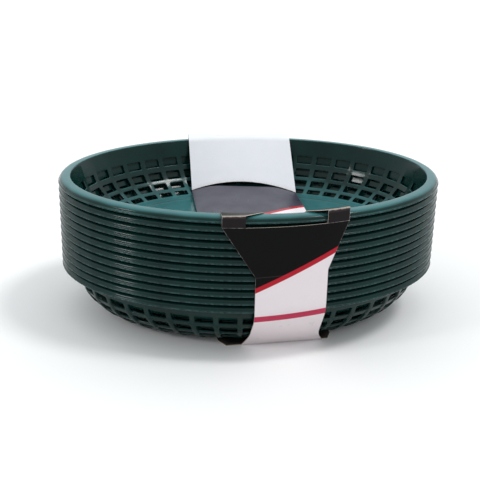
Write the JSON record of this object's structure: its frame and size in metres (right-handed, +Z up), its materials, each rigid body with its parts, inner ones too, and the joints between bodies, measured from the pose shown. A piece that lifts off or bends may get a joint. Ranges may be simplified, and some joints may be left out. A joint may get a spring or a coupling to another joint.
{
  "type": "fast food basket",
  "caption": "Pack of nested oval fast food baskets with lattice walls and rolled rims, held together by a die-cut paperboard sleeve with folding flaps.",
  "frame": {"origin": "middle of the underside of the sleeve, below the middle of the oval stack, where the pack rests", "axes": "+X along the long axis of the ovals, to the right of someone facing the pack's front; -Y is the front with the printed panel; +Z up, out of the open top basket"},
  "size_m": [0.324, 0.2432, 0.1261],
  "materials": {
    "basket_plastic": "glossy dark green injection-moulded plastic",
    "printed_board": "coated paperboard printed black, with bare red stripes and an off-white lower part",
    "white_board": "bare white paperboard"
  },
  "bodies": {
    "pack": {"basket_01": "basket_plastic", "basket_02": "basket_plastic", "basket_03": "basket_plastic", "basket_04": "basket_plastic", "basket_05": "basket_plastic", "basket_06": "basket_plastic", "basket_07": "basket_plastic", "basket_08": "basket_plastic", "basket_09": "basket_plastic", "basket_10": "basket_plastic", "basket_11": "basket_plastic", "basket_12": "basket_plastic", "sleeve_base": "white_board", "sleeve_front_panel": "printed_board", "sleeve_back_panel": "printed_board"},
    "front_flap": {"sleeve_front_flap": "printed_board"},
    "tongue": {"sleeve_tongue": "printed_board"},
    "back_flap": {"sleeve_back_flap": "white_board"}
  },
  "joints": [
    {"name": "front_flap_fold", "type": "hinge", "parent": "pack", "child": "front_flap", "pos_m": [0.005, -0.1216, 0.12482], "axis": [1, 0, 0], "range_deg": [0, 165]},
    {"name": "tongue_fold", "type": "hinge", "parent": "front_flap", "child": "tongue", "pos_m": [0.005, -0.06832, 0.07812], "axis": [1, 0, 0], "range_deg": [0, 110]},
    {"name": "back_flap_fold", "type": "hinge", "parent": "pack", "child": "back_flap", "pos_m": [0.005, 0.1216, 0.12482], "axis": [-1, 0, 0], "range_deg": [0, 165]}
  ]
}
